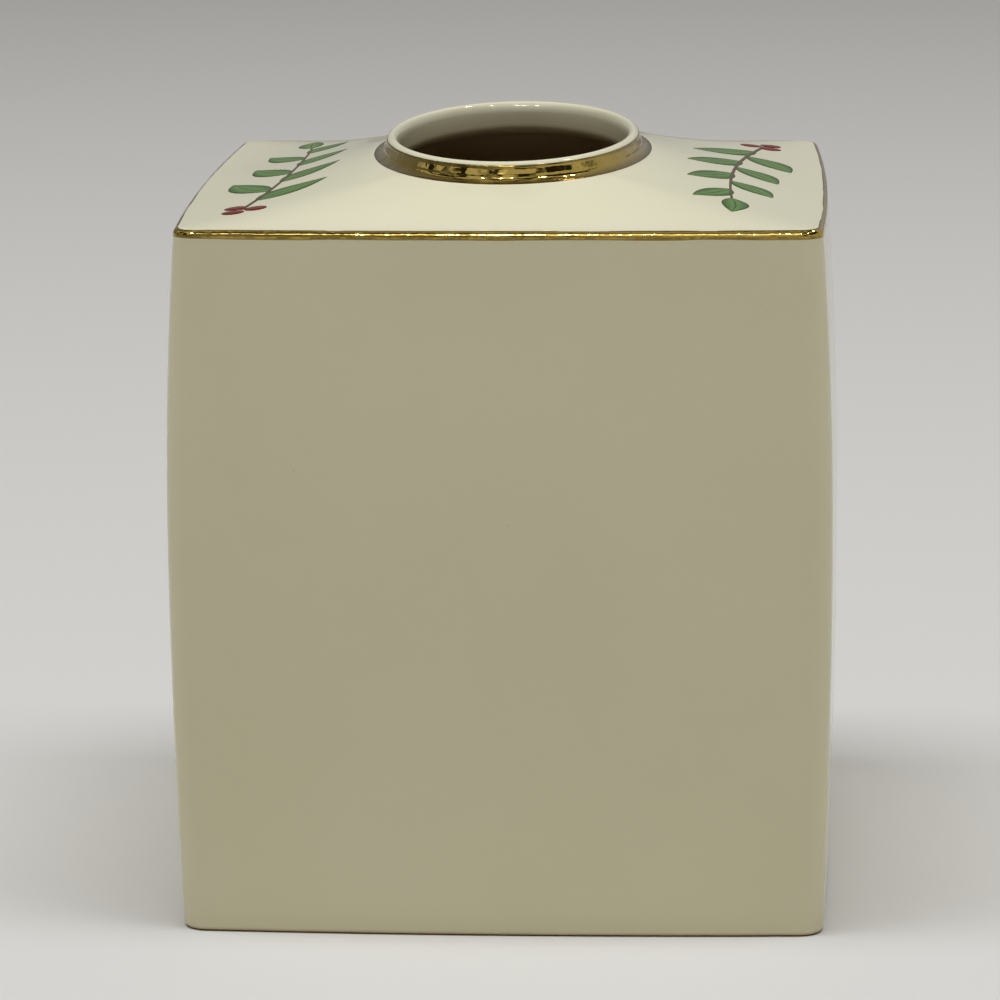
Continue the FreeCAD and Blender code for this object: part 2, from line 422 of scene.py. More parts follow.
def throat_edge_row(angle):
    """The rounded lower edge of the throat, where the glaze runs out and the colour darkens, partly as
    painted shade.
    """
    inset, drop = quarter(THROAT_R, angle)
    glaze = THROAT_GLAZE - (THROAT_GLAZE - CEILING_GLAZE) * angle / 90
    return oval_row(inset - LIP_WALL, throat_z + THROAT_R - drop, glaze)


def ceiling_row(share):
    """The underside of the top, from the walls at 0 to the throat at 1."""
    half = wall_half(inner_top) - WALL - INNER_SHOULDER_R
    height = ceiling_z + DOME_RISE * share ** DOME_SWEEP
    return row(half, INNER_CORNER_R, height, share, THROAT_R - LIP_WALL, CEILING_GLAZE * share)


def inner_shoulder_row(angle):
    """The hollow corner from the inner walls at 0 degrees to the ceiling at 90."""
    inset, rise = quarter(INNER_SHOULDER_R, angle)
    half = wall_half(inner_top) - WALL - inset
    return row(half, INNER_CORNER_R, inner_top + rise, glaze=0.0)


def inner_wall_row(z):
    """The inside of the walls at a height."""
    return row(wall_half(z) - WALL, INNER_CORNER_R, z, glaze=0.0)


def inner_foot_row(angle):
    """The inner edge of the foot, from the inner wall at 0 degrees to the table at 90."""
    inset, drop = quarter(FOOT_BEVEL, angle)
    half = wall_half(FOOT_BEVEL) - WALL + inset
    return row(half, INNER_CORNER_R + inset, FOOT_BEVEL - drop, glaze=0.0)


def foot_row(angle):
    """The outer edge of the foot, wiped bare where it nears the table at 90 degrees."""
    inset, drop = quarter(FOOT_BEVEL, angle)
    half = wall_half(FOOT_BEVEL) - inset
    return row(half, CORNER_R - inset, FOOT_BEVEL - drop, glaze=max(0.0, 1 - angle / FOOT_BARE_ANGLE))


print("Throat ends at", throat_z, "mm, ceiling starts at", ceiling_z, "mm")

# %% [markdown]
# ## A node tree that lays the outlines
# The section becomes a mesh when each of its rows is laid round the cover. A sweep of the section along
# a circle gives the faces, and then each vertex is moved to its place: its step round the circle says
# where on the wall or corner it is, and its row says on which outline. Geometry Nodes suit this because
# one tree serves the shell and both gold bands, and its sizes stay open as named inputs.

# %% Tree helpers
def new_tree(name, inputs):
    """A geometry tree with named inputs, and the ends of it to link from and to."""
    tree = bpy.data.node_groups.new(name, "GeometryNodeTree")
    tree.interface.new_socket("Geometry", in_out="OUTPUT", socket_type="NodeSocketGeometry")
    for label, kind in inputs.items():
        tree.interface.new_socket(label, in_out="INPUT", socket_type="NodeSocket" + kind)
    return tree, tree.nodes.new("NodeGroupInput").outputs, tree.nodes.new("NodeGroupOutput").inputs


def made_by(tree, name, inputs, keep=()):
    """Runs a tree once and keeps the result as a plain mesh object, with only the attributes to keep."""
    piece = bpy.data.objects.new(name, bpy.data.meshes.new(name))
    bpy.context.scene.collection.objects.link(piece)
    modifier = piece.modifiers.new("nodes", "NODES")
    modifier.node_group = tree
    for socket in tree.interface.items_tree:
        if socket.in_out == "INPUT":
            modifier[socket.identifier] = inputs[socket.name]
    graph = bpy.context.evaluated_depsgraph_get()
    mesh = bpy.data.meshes.new_from_object(piece.evaluated_get(graph), depsgraph=graph)
    piece.modifiers.remove(modifier)
    piece.data = mesh
    mesh.name = name
    for label in [a.name for a in mesh.attributes if a.name in TREE_VALUES and a.name not in keep]:
        mesh.attributes.remove(mesh.attributes[label])
    for empty in [i for i, material in enumerate(mesh.materials) if material is None][::-1]:
        mesh.materials.pop(index=empty)
    print(name, len(mesh.vertices), "vertices", len(mesh.polygons), "faces")
    return piece


def polyline(name, points, closed=False, rows=None):
    """A line of vertices that a tree can read, with each row's values as attributes."""
    mesh = bpy.data.meshes.new(name)
    count = len(points)
    edges = [(i, (i + 1) % count) for i in range(count if closed else count - 1)]
    mesh.from_pydata(points, edges, [])
    for label in rows[0] if rows else ():
        mesh.attributes.new(label, "FLOAT", "POINT").data.foreach_set("value", [r[label] for r in rows])
    line = bpy.data.objects.new(name, mesh)
    bpy.context.scene.collection.objects.link(line)
    return line


def section_line(name, rows):
    """A closed section drawn in the XZ plane."""
    points = [(r["wall_centre"] + r["wall_radius"], 0.0, r["height"]) for r in rows]
    return polyline(name, points, closed=True, rows=rows)


# %% Outline tree: sweep and steps
outline_tree, given, result = new_tree("lay_outlines", {
    "Section": "Object", "Wall Steps": "Int", "Corner Steps": "Int", "Oval Split": "Float",
    "Lip Reach X": "Float", "Lip Reach Y": "Float", "Sponging": "Int", "Waver": "Float",
    "Waver Length": "Float", "Seed": "Float", "Finish": "Material"})
tree = outline_tree
section = add(tree, "GeometryNodeObjectInfo", {"Object": given["Section"]})
profile = add(tree, "GeometryNodeMeshToCurve", {"Mesh": section.outputs["Geometry"]})
side_steps = calculate(tree, "ADD", given["Wall Steps"], given["Corner Steps"])
all_steps = calculate(tree, "MULTIPLY", side_steps, 4.0)
ring = add(tree, "GeometryNodeCurvePrimitiveCircle", {"Resolution": all_steps})
index = add(tree, "GeometryNodeInputIndex").outputs["Index"]
counted = add(tree, "GeometryNodeStoreNamedAttribute",
              {"Geometry": ring.outputs["Curve"], "Name": "step", "Value": index}, data_type="INT")
swept = add(tree, "GeometryNodeCurveToMesh",
            {"Curve": counted.outputs["Geometry"], "Profile Curve": profile.outputs["Curve"]})
step = add(tree, "GeometryNodeInputNamedAttribute", {"Name": "step"}, data_type="INT").outputs["Attribute"]
at = {}
for label in ROW_VALUES:
    read = add(tree, "GeometryNodeInputNamedAttribute", {"Name": label}, data_type="FLOAT")
    at[label] = read.outputs["Attribute"]
print("The sweep reads", len(at), "values from each row")

# %% Outline tree: place on the square
RIGHT_ANGLE = math.pi / 2

sides = calculate(tree, "DIVIDE", step, side_steps)
side = calculate(tree, "FLOOR", sides)
side_angle = calculate(tree, "MULTIPLY", side, RIGHT_ANGLE)
along = calculate(tree, "MODULO", step, side_steps)
past_wall = calculate(tree, "SUBTRACT", along, given["Wall Steps"])
# Steps are whole numbers, so half a step short of the corner divides the two safely.
on_corner = add(tree, "FunctionNodeCompare", {"A": past_wall, "B": -0.5}, operation="GREATER_THAN").outputs[0]
wall_part = calculate(tree, "DIVIDE", along, given["Wall Steps"])
corner_part = calculate(tree, "DIVIDE", past_wall, given["Corner Steps"])
back_turn = calculate(tree, "MULTIPLY", at["wall_turn"], -1.0)
far_turn = calculate(tree, "SUBTRACT", RIGHT_ANGLE, at["wall_turn"])


def wall_or_corner(on_wall, at_corner):
    """A value that differs between the walls and the corners."""
    return add(tree, "GeometryNodeSwitch", {"Switch": on_corner, "False": on_wall, "True": at_corner},
               input_type="FLOAT").outputs[0]


arc_angle = wall_or_corner(between(tree, wall_part, back_turn, at["wall_turn"]),
                           between(tree, corner_part, at["wall_turn"], far_turn))
centre_x = wall_or_corner(at["wall_centre"], at["corner_centre"])
centre_y = wall_or_corner(0.0, at["corner_centre"])
arm = add(tree, "ShaderNodeCombineXYZ", {"X": wall_or_corner(at["wall_radius"], at["corner_radius"])})
swung = add(tree, "ShaderNodeVectorRotate", {"Vector": arm.outputs[0], "Angle": arc_angle},
            rotation_type="Z_AXIS")
centre = add(tree, "ShaderNodeCombineXYZ", {"X": centre_x, "Y": centre_y})
on_first_side = add(tree, "ShaderNodeVectorMath", {0: swung.outputs[0], 1: centre.outputs[0]})
on_square = add(tree, "ShaderNodeVectorRotate", {"Vector": on_first_side.outputs[0], "Angle": side_angle},
                rotation_type="Z_AXIS").outputs[0]
print("Square outline:", len(tree.nodes), "nodes so far")

# %% Outline tree: place on the oval, and the blend
split = given["Oval Split"]
back_split = calculate(tree, "MULTIPLY", split, -1.0)
far_split = calculate(tree, "SUBTRACT", RIGHT_ANGLE, split)
oval_turn = wall_or_corner(between(tree, wall_part, back_split, split),
                           between(tree, corner_part, split, far_split))
oval_angle = calculate(tree, "ADD", oval_turn, side_angle)
cosine = calculate(tree, "COSINE", oval_angle)
sine = calculate(tree, "SINE", oval_angle)
reach_x = calculate(tree, "ADD", given["Lip Reach X"], at["oval_offset"])
reach_y = calculate(tree, "ADD", given["Lip Reach Y"], at["oval_offset"])
oval_x = calculate(tree, "MULTIPLY", cosine, reach_x)
oval_y = calculate(tree, "MULTIPLY", sine, reach_y)
on_oval = add(tree, "ShaderNodeCombineXYZ", {"X": oval_x, "Y": oval_y}).outputs[0]
plan = add(tree, MIX, {"Factor_Float": at["oval_share"], "A_Vector": on_square, "B_Vector": on_oval},
           data_type="VECTOR").outputs[1]
lift = add(tree, "ShaderNodeCombineXYZ", {"Z": at["height"]})
laid = add(tree, "ShaderNodeVectorMath", {0: plan, 1: lift.outputs[0]}).outputs[0]
print("Oval and blend:", len(tree.nodes), "nodes so far")

# %% [markdown]
# A painted line is never quite even, so its edge rows move a little, up the wall or in over the top, by
# a slow noise round the cover. Rows of the shell have no such weight and stay where they are.

# %% Outline tree: the painter's waver
waver_scale = calculate(tree, "DIVIDE", 1.0, given["Waver Length"])
unsteady = add(tree, NOISE, {"Vector": plan, "W": given["Seed"], "Scale": waver_scale, "Detail": 1.0},
               noise_dimensions="4D")
swing = remap(tree, unsteady.outputs["Fac"], NOISE_RANGE, (-1.0, 1.0))
stray = calculate(tree, "MULTIPLY", swing, given["Waver"])
stray_up = calculate(tree, "MULTIPLY", stray, at["waver_up"])
stray_in = calculate(tree, "MULTIPLY", stray, at["waver_in"])
outward = add(tree, "ShaderNodeVectorMath", {0: plan}, operation="NORMALIZE").outputs[0]
inward_move = add(tree, "ShaderNodeVectorMath", {0: outward, "Scale": stray_in}, operation="SCALE").outputs[0]
upward_move = add(tree, "ShaderNodeCombineXYZ", {"Z": stray_up}).outputs[0]
move = add(tree, "ShaderNodeVectorMath", {0: upward_move, 1: inward_move}, operation="SUBTRACT").outputs[0]
final_place = add(tree, "ShaderNodeVectorMath", {0: laid, 1: move}).outputs[0]
print("Waver:", len(tree.nodes), "nodes so far")

# %% [markdown]
# Where the square of the top turns into the oval, the rule leaves a faint crease at each hip. On a real
# casting the potter smooths such places with a damp sponge before firing. Blur Attribute does the same
# to the positions, only where a row's ease weight lets it, so the edges of the top stay put.

# %% Outline tree: sponging and finish
sponged = add(tree, "GeometryNodeBlurAttribute", {"Value": final_place, "Weight": at["ease"],
                                                  "Iterations": given["Sponging"]}, data_type="FLOAT_VECTOR")
shaped = add(tree, "GeometryNodeSetPosition", {"Geometry": swept.outputs["Mesh"],
                                               "Position": sponged.outputs["Value"]})
outside_out = add(tree, "GeometryNodeFlipFaces", {"Mesh": shaped.outputs["Geometry"]})
smooth = add(tree, "GeometryNodeSetShadeSmooth", {"Geometry": outside_out.outputs["Mesh"]})
whole = add(tree, "GeometryNodeRealizeInstances", {"Geometry": smooth.outputs["Geometry"]})
finished = add(tree, "GeometryNodeSetMaterial", {"Geometry": whole.outputs["Geometry"],
                                                 "Material": given["Finish"]})
tree.links.new(finished.outputs["Geometry"], result["Geometry"])
print("The outline tree has", len(tree.nodes), "nodes")

# %% [markdown]
# ## The porcelain shell
# The shell's section runs once round the wall of the casting: up the outside, over the lip, down the
# throat, along the ceiling and down the inside to the foot. Rows are close together where the surface
# turns quickly, because a mirror-like glaze shows every facet.

# %% The shell
OVAL_SPLIT = math.radians(43.0)
STEPS = {"Wall Steps": 44, "Corner Steps": 14, "Oval Split": OVAL_SPLIT, "Sponging": 40,
         "Lip Reach X": (OPENING_WIDTH / 2 + LIP_WALL) * MM,
         "Lip Reach Y": (OPENING_LENGTH / 2 + LIP_WALL) * MM}
STEADY = {"Waver": 0.0, "Waver Length": 1.0, "Seed": 0.0}

shell_rows = [foot_row(a) for a in spread(90, 0, 8)]
shell_rows += [wall_row(z) for z in spread(FOOT_BEVEL, wall_top, 30)[1:]]
shell_rows += [shoulder_row(a) for a in spread(0, 90, 12)[1:]]
shell_rows += [dome_row(s) for s in spread(0, 1, 30)[1:]]
shell_rows += [flare_row(a) for a in spread(0, 90, 10)[1:]]
shell_rows += [collar_row(s) for s in spread(0, 1, 4)[1:]]
shell_rows += [lip_row(a) for a in spread(0, 180, 18)[1:]]
shell_rows += [throat_row(s) for s in spread(0, 1, 5)[1:]]
shell_rows += [throat_edge_row(a) for a in spread(0, 90, 8)[1:]]
shell_rows += [ceiling_row(s) for s in spread(1, 0, 14)[1:]]
shell_rows += [inner_shoulder_row(a) for a in spread(90, 0, 8)[1:]]
shell_rows += [inner_wall_row(z) for z in spread(inner_top, FOOT_BEVEL, 12)[1:]]
shell_rows += [inner_foot_row(a) for a in spread(0, 90, 5)[1:]]
shell_section = section_line("shell_section", shell_rows)
shell = made_by(outline_tree, "porcelain_cover",
                {"Section": shell_section, "Finish": porcelain, **STEPS, **STEADY}, keep=["glaze"])

# %% [markdown]
# ## The gold
# Each band is a thin closed film: its outside stands a few hundredths of a millimetre off the glaze and
# thins to nothing at both edges, and its back is sunk just under the glaze. The line on the shoulder is
# banded on a turntable with a brush, so only its edges waver. The collar is covered from its flare to its
# lip.

# %% Gold bands
GILT = 0.03
GILT_SINK = 0.05
GILT_EDGE_POWER = 0.3
BAND_DROP = 0.45
GILT_SHOULDER_ANGLE = 75.0
GILT_LIP_ANGLE = 30.0
EDGE_ROWS = 4
# Rows over which the collar's gold darkens up from the flare's foot: partly thin gold, partly painted shade.
FLARE_EDGE_AND_SHADE_ROWS = 7


def film_rows(places, wavers=False, low_rows=EDGE_ROWS):
    """A closed film over a list of row makers and the places that they are given."""
    last = len(places) - 1
    front, back = [], []
    for i, (maker, place) in enumerate(places):
        fullness = math.sin(math.pi * i / last) ** GILT_EDGE_POWER
        grown, sunk = maker(place, GILT * fullness), maker(place, -GILT_SINK)
        for values in (grown, sunk):
            values["film"] = min(1.0, i / low_rows, (last - i) / EDGE_ROWS)
            if wavers:
                values["waver_up"] = max(0.0, 1 - i / EDGE_ROWS)
                values["waver_in"] = max(0.0, 1 - (last - i) / EDGE_ROWS)
        front.append(grown)
        back.append(sunk)
    return front + back[::-1]


line_places = [(wall_row, z) for z in spread(wall_top - BAND_DROP, wall_top, 4)]
line_places += [(shoulder_row, a) for a in spread(0, GILT_SHOULDER_ANGLE, 14)[1:]]
line_section = section_line("line_section", film_rows(line_places, wavers=True))
shoulder_line = made_by(outline_tree, "shoulder_gold_line",
                        {"Section": line_section, "Finish": gold, **STEPS, "Waver": 0.16 * MM,
                         "Waver Length": 14 * MM, "Seed": 3.0}, keep=["film"])

collar_places = [(flare_row, a) for a in spread(0, 90, 10)]
collar_places += [(collar_row, s) for s in spread(0, 1, 5)[1:]]
collar_places += [(lip_row, a) for a in spread(0, GILT_LIP_ANGLE, 5)[1:]]
# The collar's gold is darker and duller over the flare, partly as painted shade in the crease at its foot.
collar_section = section_line("collar_section", film_rows(collar_places, low_rows=FLARE_EDGE_AND_SHADE_ROWS))
collar_gold = made_by(outline_tree, "collar_gold",
                      {"Section": collar_section, "Finish": gold, **STEPS, **STEADY}, keep=["film"])

# %% [markdown]
# ## The printed sprigs
# A sprig lies on each flank of the top: a bowed stem, plain pointed leaves that alternate along it, a
# last leaf at its tip, and three berries at its foot. Instances along a curve suit that, and the second
# sprig is the first one turned half round. The flat print is given a hair's thickness, then dropped onto
# the shell by rays, so it follows the curve of the top.

# %% One leaf
LEAF_LENGTH = 19.0
LEAF_WIDTH = 7.4
LEAF_CUTS_ALONG = 16
LEAF_CUTS_ACROSS = 8
# Shares and powers: both tips are cut short, and the widest place is nearer the stalk.
LEAF_TRIM = 0.012
LEAF_SKEW = 0.85
LEAF_FILL = 0.9
LEAF_BEND = 0.05


def leaf_object():
    """A flat pointed leaf along +X, with the place across it as an attribute."""
    points, faces, across_values = [], [], []
    for i in range(LEAF_CUTS_ALONG + 1):
        t = LEAF_TRIM + (1 - 2 * LEAF_TRIM) * i / LEAF_CUTS_ALONG
        half = LEAF_WIDTH / 2 * math.sin(math.pi * t ** LEAF_SKEW) ** LEAF_FILL
        bend = LEAF_BEND * LEAF_LENGTH * math.sin(math.pi * t)
        for j in range(LEAF_CUTS_ACROSS + 1):
            s = 2 * j / LEAF_CUTS_ACROSS - 1
            points.append((t * LEAF_LENGTH * MM, (s * half + bend) * MM, 0.0))
            across_values.append(s)
    width = LEAF_CUTS_ACROSS + 1
    for i in range(LEAF_CUTS_ALONG):
        for j in range(LEAF_CUTS_ACROSS):
            first = i * width + j
            faces.append((first, first + width, first + width + 1, first + 1))
    mesh = bpy.data.meshes.new("leaf")
    mesh.from_pydata(points, [], faces)
    mesh.attributes.new("leaf_across", "FLOAT", "POINT").data.foreach_set("value", across_values)
    leaf = bpy.data.objects.new("leaf", mesh)
    bpy.context.scene.collection.objects.link(leaf)
    return leaf


leaf = leaf_object()
print("Leaf", LEAF_LENGTH, "by", LEAF_WIDTH, "mm,", len(leaf.data.polygons), "faces")

# %% The stem's line
STEM_START = (-50.0, -43.0)
STEM_END = (-44.0, 34.0)
STEM_BOW = -2.5


def stem_points(count):
    """Points of the stem in plan, a shallow bow between its two ends."""
    start, end = Vector(STEM_START), Vector(STEM_END)
    run = end - start
    aside = Vector((-run.y, run.x)).normalized()
    points = []
    for t in spread(0, 1, count):
        p = start + run * t + aside * STEM_BOW * 4 * t * (1 - t)
        points.append((p.x * MM, p.y * MM, 0.0))
    return points


stem_line = polyline("stem_line", stem_points(32))
print("Stem from", STEM_START, "to", STEM_END)

# %% Sprig tree: stem and leaves, all flat
STEM_TIP = 0.5
LEAF_JITTER = 0.09

sprig_tree, given, result = new_tree("print_sprigs", {
    "Stem": "Object", "Leaf": "Object", "Cover": "Object", "Stem Width": "Float", "First Leaf": "Float",
    "Leaf Pitch": "Float", "Leaf Turn": "Float", "Tip Size": "Float", "Berry Radius": "Float",
    "Film": "Float", "Seed": "Int", "Leaf Print": "Material", "Stem Print": "Material",
    "Berry Print": "Material"})
tree = sprig_tree
stem_info = add(tree, "GeometryNodeObjectInfo", {"Object": given["Stem"]})
stem_curve = add(tree, "GeometryNodeMeshToCurve", {"Mesh": stem_info.outputs["Geometry"]}).outputs["Curve"]
upright = add(tree, "GeometryNodeSetCurveNormal", {"Curve": stem_curve}, mode="Z_UP").outputs["Curve"]
ribbon_line = add(tree, "GeometryNodeCurvePrimitiveLine", {"Start": (-0.5, 0, 0), "End": (0.5, 0, 0)})
stem_part = add(tree, "GeometryNodeSplineParameter").outputs["Factor"]
thinning = remap(tree, stem_part, target=(1.0, STEM_TIP))
stem_width = calculate(tree, "MULTIPLY", thinning, given["Stem Width"])
ribbon = add(tree, "GeometryNodeCurveToMesh", {"Curve": upright, "Scale": stem_width,
                                               "Profile Curve": ribbon_line.outputs["Curve"]})
leafy = add(tree, "GeometryNodeTrimCurve", {"Curve": stem_curve, "Start": given["First Leaf"]}, mode="FACTOR")
buds = add(tree, "GeometryNodeCurveToPoints", {"Curve": leafy.outputs["Curve"],
                                               "Length": given["Leaf Pitch"]}, mode="LENGTH")
bud = add(tree, "GeometryNodeInputIndex").outputs["Index"]
bud_count = add(tree, "GeometryNodeAttributeDomainSize", {"Geometry": buds.outputs["Points"]},
                component="POINTCLOUD").outputs["Point Count"]
last_bud = calculate(tree, "SUBTRACT", bud_count, 1.0)
odd = calculate(tree, "MODULO", bud, 2.0)
hand = remap(tree, odd, target=(-1.0, 1.0))
at_tip = add(tree, "FunctionNodeCompare", {"A": bud, "B": last_bud}, operation="EQUAL").outputs[0]
side_turn = calculate(tree, "MULTIPLY", hand, given["Leaf Turn"])
leaf_turn = add(tree, "GeometryNodeSwitch", {"Switch": at_tip, "False": side_turn}, input_type="FLOAT")
tangent = add(tree, "ShaderNodeSeparateXYZ", {"Vector": buds.outputs["Tangent"]})
heading = calculate(tree, "ARCTAN2", tangent.outputs["Y"], tangent.outputs["X"])
jitter = add(tree, "FunctionNodeRandomValue", {"Min_001": -LEAF_JITTER, "Max_001": LEAF_JITTER,
                                               "Seed": given["Seed"]}, data_type="FLOAT").outputs[1]
leaned = calculate(tree, "ADD", heading, leaf_turn.outputs[0])
facing = calculate(tree, "ADD", leaned, jitter)
leaf_rotation = add(tree, "ShaderNodeCombineXYZ", {"Z": facing}).outputs[0]
leaf_size = remap(tree, bud, (0.0, last_bud), (1.0, given["Tip Size"]))
leaf_info = add(tree, "GeometryNodeObjectInfo", {"Object": given["Leaf"]})
leaves = add(tree, "GeometryNodeInstanceOnPoints",
             {"Points": buds.outputs["Points"], "Instance": leaf_info.outputs["Geometry"],
              "Rotation": leaf_rotation, "Scale": leaf_size})
print("Sprig tree:", len(tree.nodes), "nodes so far")

# %% Sprig tree: berries, the second sprig and the drop onto the shell
BERRY_SPACING = 1.25
BERRY_SIDES = 28
WELD = 0.001 * MM
# Heights in the print are shares of its thickness until it is dropped. Its back is sunk in the glaze.
LEAF_HEIGHT, STEM_HEIGHT, BERRY_HEIGHT = 0.6, 0.8, 1.0
PRINT_SINK = 0.5

foot = add(tree, "GeometryNodeSampleCurve", {"Curves": stem_curve, "Factor": 0.0}, mode="FACTOR")
cluster_r = calculate(tree, "MULTIPLY", given["Berry Radius"], BERRY_SPACING)
cluster = add(tree, "GeometryNodeMeshCircle", {"Vertices": 3, "Radius": cluster_r})
cluster_at = add(tree, "GeometryNodeTransform", {"Geometry": cluster.outputs["Mesh"],
                                                 "Translation": foot.outputs["Position"]})
disc = add(tree, "GeometryNodeMeshCircle", {"Vertices": BERRY_SIDES, "Radius": given["Berry Radius"]},
           fill_type="TRIANGLE_FAN")
berries = add(tree, "GeometryNodeInstanceOnPoints", {"Points": cluster_at.outputs["Geometry"],
                                                     "Instance": disc.outputs["Mesh"]})
layers = add(tree, "GeometryNodeJoinGeometry")
for layer, shapes, height in ((0, leaves.outputs["Instances"], LEAF_HEIGHT),
                              (1, ribbon.outputs["Mesh"], STEM_HEIGHT),
                              (2, berries.outputs["Instances"], BERRY_HEIGHT)):
    flat = add(tree, "GeometryNodeRealizeInstances", {"Geometry": shapes})
    raised = add(tree, "GeometryNodeExtrudeMesh", {"Mesh": flat.outputs["Geometry"], "Offset": (0, 0, 1),
                                                   "Offset Scale": height, "Individual": False})
    underside = add(tree, "GeometryNodeFlipFaces", {"Mesh": flat.outputs["Geometry"]})
    solid = add(tree, "GeometryNodeJoinGeometry", {"Geometry": raised.outputs["Mesh"]})
    tree.links.new(underside.outputs["Mesh"], solid.inputs["Geometry"])
    welded = add(tree, "GeometryNodeMergeByDistance", {"Geometry": solid.outputs["Geometry"],
                                                       "Distance": WELD})
    marked = add(tree, "GeometryNodeStoreNamedAttribute", {"Geometry": welded.outputs["Geometry"],
                                                           "Name": "print_layer", "Value": layer},
                 data_type="INT", domain="FACE")
    tree.links.new(marked.outputs["Geometry"], layers.inputs["Geometry"])
pair = add(tree, "GeometryNodeMeshLine", {"Count": 2, "Offset": (0, 0, 0)})
turned = calculate(tree, "MULTIPLY", bud, math.pi)
half_round = add(tree, "ShaderNodeCombineXYZ", {"Z": turned}).outputs[0]
both = add(tree, "GeometryNodeInstanceOnPoints", {"Points": pair.outputs["Mesh"], "Rotation": half_round,
                                                  "Instance": layers.outputs["Geometry"]})
whole = add(tree, "GeometryNodeRealizeInstances", {"Geometry": both.outputs["Instances"]})
here = add(tree, "ShaderNodeSeparateXYZ", {"Vector": add(tree, "GeometryNodeInputPosition").outputs[0]})
above = add(tree, "ShaderNodeCombineXYZ", {"X": here.outputs["X"], "Y": here.outputs["Y"], "Z": 1.0})
cover_info = add(tree, "GeometryNodeObjectInfo", {"Object": given["Cover"]})
drop = add(tree, "GeometryNodeRaycast",
           {"Target Geometry": cover_info.outputs["Geometry"], "Source Position": above.outputs[0],
            "Ray Direction": (0, 0, -1), "Ray Length": 2.0})
film_height = remap(tree, here.outputs["Z"], target=(-PRINT_SINK, 1.0))
film_lift = calculate(tree, "MULTIPLY", film_height, given["Film"])
off_glaze = add(tree, "ShaderNodeVectorMath", {0: drop.outputs["Hit Normal"], "Scale": film_lift},
                operation="SCALE")
landed = add(tree, "ShaderNodeVectorMath", {0: drop.outputs["Hit Position"], 1: off_glaze.outputs[0]})
draped = add(tree, "GeometryNodeSetPosition", {"Geometry": whole.outputs["Geometry"],
                                               "Position": landed.outputs[0]})
smooth = add(tree, "GeometryNodeSetShadeSmooth", {"Geometry": draped.outputs["Geometry"]})
finished = add(tree, "GeometryNodeSetMaterial", {"Geometry": smooth.outputs["Geometry"],
                                                 "Material": given["Leaf Print"]})
layer_here = add(tree, "GeometryNodeInputNamedAttribute", {"Name": "print_layer"}, data_type="INT")
for layer, enamel in ((1, "Stem Print"), (2, "Berry Print")):
    chosen = add(tree, "FunctionNodeCompare", {"A": layer_here.outputs["Attribute"], "B": float(layer)},
                 operation="EQUAL")
    finished = add(tree, "GeometryNodeSetMaterial", {"Geometry": finished.outputs["Geometry"],
                                                     "Selection": chosen.outputs["Result"],
                                                     "Material": given[enamel]})
tree.links.new(finished.outputs["Geometry"], result["Geometry"])
print("The sprig tree has", len(tree.nodes), "nodes")

# %% The sprigs
sprigs = made_by(sprig_tree, "leaf_sprigs", {
    "Stem": stem_line, "Leaf": leaf, "Cover": shell, "Stem Width": 0.9 * MM, "First Leaf": 0.12,
    "Leaf Pitch": 9.0 * MM, "Leaf Turn": math.radians(32), "Tip Size": 0.72, "Berry Radius": 2.2 * MM,
    "Film": 0.06 * MM, "Seed": 5, "Leaf Print": leaf_print, "Stem Print": prints["stem"],
    "Berry Print": prints["berry"]}, keep=["leaf_across"])
for helper in (shell_section, line_section, collar_section, stem_line, leaf):
    bpy.data.objects.remove(helper)
print("Sprigs use", [m.name for m in sprigs.data.materials])

# %% [markdown]
# ## Onto the frame
# Nothing on the cover moves, so every piece rides on the one body. The smooth shell and the gold stand
# for their CAD solids, which stay hidden for collision, and the print lies in the glaze.

# %% Ride and replace
for piece, slot, node in ((shell, "porcelain", "porcelain_shell"),
                          (shoulder_line, "gold", "shoulder_gilt_band"),
                          (collar_gold, "gold", "collar_gilt_band"),
                          (sprigs, "porcelain", None)):
    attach(piece, "root")
    if node:
        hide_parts(node)
print("Pieces on the frame:", [p.name for p in (shell, shoulder_line, collar_gold, sprigs)])

# %% [markdown]
# ## Floor and light
# The cover stands on a plain pale floor. Light Path lets the camera and reflections see the floor paler
# than the light that it throws back on the walls. One large soft lamp overhead leaves the walls about half
# as bright as the top, and is kept out of reflections. Five small lamps do the opposite: they only put
# points of light on the glaze and the gold.

# %% Floor
FLOOR_SIZE = 12.0
FLOOR_DROP = 0.1 * MM
FLOOR_ROUGHNESS = 0.9

floor_paint, tree, floor_shader = new_material("pale_floor")
floor_colour = blend(tree, seen_rays(tree), "#CFCCC1", "#D8D6D1")
tree.links.new(floor_colour, floor_shader.inputs["Base Color"])
floor_shader.inputs["Roughness"].default_value = FLOOR_ROUGHNESS
half = FLOOR_SIZE / 2
floor_mesh = bpy.data.meshes.new("floor")
floor_corners = [(-half, -half), (half, -half), (half, half), (-half, half)]
floor_mesh.from_pydata([(x, y, -FLOOR_DROP) for x, y in floor_corners], [], [(0, 1, 2, 3)])
floor_mesh.materials.append(floor_paint)
floor = bpy.data.objects.new("floor", floor_mesh)
bpy.context.scene.collection.objects.link(floor)
print("Floor", FLOOR_SIZE, "m square")

# %% Lamps
def lamp(name, place, aim, size, power, tint, shape="RECTANGLE"):
    """An area lamp at a place, turned to face a point. Its size is its width and height."""
    light = bpy.data.lights.new(name, "AREA")
    light.shape = shape
    light.size, light.size_y = size
    light.energy = power
    light.color = colour(tint)[:3]
    holder = bpy.data.objects.new(name, light)
    holder.location = place
    holder.rotation_euler = (Vector(aim) - Vector(place)).to_track_quat("-Z", "Y").to_euler()
    bpy.context.scene.collection.objects.link(holder)
    return holder


